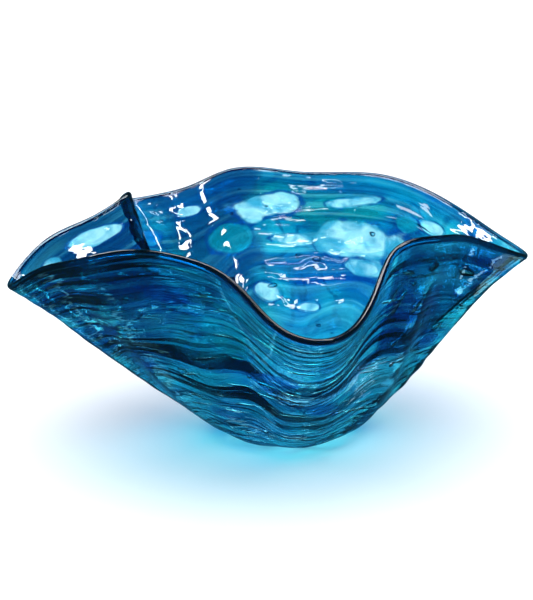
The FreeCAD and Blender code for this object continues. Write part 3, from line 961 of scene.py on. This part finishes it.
# Strip lights: name, place, width and height in metres, radiance, tint. The last three are what a glossy
# table would mirror of the others, up into the outside of the bowl.
STRIPS = [
    ("front_right_strip", (0.915, -0.435, 1.43), (0.09, 0.62), 34.0, WHITE),
    ("front_strip", (-0.15, -1.30, 1.40), (1.6, 0.07), 18.0, WHITE),
    ("back_left_strip", (-1.0, 0.84, 1.10), (0.12, 0.7), 26.0, WHITE),
    ("overhead_softbox", (0.0, 0.1, 1.8), (1.8, 0.8), 10.0, WHITE),
    ("mirrored_left_strip", (-1.0, 0.5, -1.2), (0.8, 0.05), 1.2, (0.20, 0.80, 1.0)),
    ("mirrored_front_strip", (-0.1, 0.45, -1.3), (1.0, 0.06), 3.0, (0.25, 0.85, 1.0)),
    ("mirrored_right_strip", (1.1, 0.0, -1.2), (0.06, 0.3), 5.0, (0.45, 0.80, 1.0)),
]


def look_at(thing, target):
    """Turn an object's -Z towards a point, with its +Y up."""
    heading = Vector(target) - thing.location
    thing.rotation_euler = heading.to_track_quat("-Z", "Y").to_euler()


def strip_light(name, place, size, radiance, tint):
    """A rectangular light of an even brightness, for the mirror highlights alone."""
    data = bpy.data.lights.new(name, "AREA")
    data.shape = "RECTANGLE"
    data.size, data.size_y = size
    data.energy = radiance * math.pi * size[0] * size[1]
    data.color = tint
    lamp = bpy.data.objects.new(name, data)
    lamp.location = place
    lamp.visible_diffuse = False
    bpy.context.scene.collection.objects.link(lamp)
    look_at(lamp, STRIP_TARGET)


def sky_light(strength, spread, lean):
    """One very broad even light from above, leaning back by some degrees; it shows in no mirror."""
    data = bpy.data.lights.new("sky_softbox", "SUN")
    data.energy = strength
    data.angle = math.radians(spread)
    lamp = bpy.data.objects.new("sky_softbox", data)
    lamp.rotation_euler = (-math.radians(lean), 0, 0)
    lamp.visible_glossy = False
    bpy.context.scene.collection.objects.link(lamp)


def make_floor():
    """A broad sheet of pale paper, which shows in no mirror."""
    half = FLOOR_SIZE / 2
    mesh = bpy.data.meshes.new("floor")
    corners = [(-half, -half, 0), (half, -half, 0), (half, half, 0), (-half, half, 0)]
    mesh.from_pydata(corners, [], [(0, 1, 2, 3)])
    floor = bpy.data.objects.new("floor", mesh)
    bpy.context.scene.collection.objects.link(floor)
    material, nodes = new_material("floor_paper")
    grain = nodes.noise(nodes.place(), 3.0, 2.0)
    tone = nodes.mix(grain, (0.88, 0.88, 0.88, 1), (0.90, 0.90, 0.90, 1))
    paper = nodes.add("ShaderNodeBsdfPrincipled", {"Base Color": tone, "Roughness": 0.9,
                                                   "Specular IOR Level": 0.0})
    nodes.add("ShaderNodeOutputMaterial", {"Surface": paper.outputs[0]})
    dress(floor, material)
    floor.visible_glossy = False


def make_camera():
    """The camera, in front of the bowl and a little above it."""
    data = bpy.data.cameras.new("camera")
    data.lens = VIEW_LENS
    camera = bpy.data.objects.new("camera", data)
    tilt = math.radians(VIEW_ELEVATION)
    camera.location = (
        VIEW_TARGET[0],
        VIEW_TARGET[1] - VIEW_DISTANCE * math.cos(tilt),
        VIEW_TARGET[2] + VIEW_DISTANCE * math.sin(tilt),
    )
    bpy.context.scene.collection.objects.link(camera)
    look_at(camera, VIEW_TARGET)
    bpy.context.scene.camera = camera


def make_studio():
    """A pale floor, a dim blue room for the glass to mirror, soft lights and the camera."""
    scene = bpy.context.scene
    make_floor()
    world = bpy.data.worlds.new("studio")
    world.use_nodes = True
    world.node_tree.nodes["Background"].inputs["Color"].default_value = WORLD_COLOUR
    scene.world = world
    sky_light(*SKY)
    for strip in STRIPS:
        strip_light(*strip)
    make_camera()
    scene.view_settings.view_transform = "Standard"
    scene.cycles.max_bounces = GLASS_BOUNCES
    scene.cycles.transmission_bounces = GLASS_BOUNCES
    scene.cycles.glossy_bounces = 8
    scene.cycles.transparent_max_bounces = 32
    scene.cycles.sample_clamp_indirect = 6.0


# ---------------------------------------------------------------- the bowl
def make_bowl():
    """The bowl's visible pieces, each riding on the one body, and better materials on the CAD nodes kept."""
    wall = make_glass_wall()
    dress(wall, wall_glass())
    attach(wall, "root")
    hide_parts("inner_gather", "outer_casing")

    bead = make_lip_bead()
    dress(bead, bead_glass())
    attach(bead, "root")
    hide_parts("lip_wrap")

    bubbles = make_bubbles()
    dress(bubbles, bubble_glass())
    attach(bubbles, "root")

    dress_cad("colour_coat", coat_glass())
    dress_cad("punty_pad", pad_glass())
    chips = {
        "pale_window": chip_glass("pale_glass", (0.55, 0.84, 0.90), (0.75, 0.94, 0.97)),
        "teal_chip": chip_glass("teal_glass", (0.30, 0.72, 0.76), (0.40, 0.80, 0.84)),
        "cobalt_chip": chip_glass("cobalt_glass", (0.28, 0.62, 0.90), (0.34, 0.70, 0.94)),
    }
    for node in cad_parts:
        for start, material in chips.items():
            if node.startswith(start):
                dress_cad(node, material)


make_bowl()
make_studio()
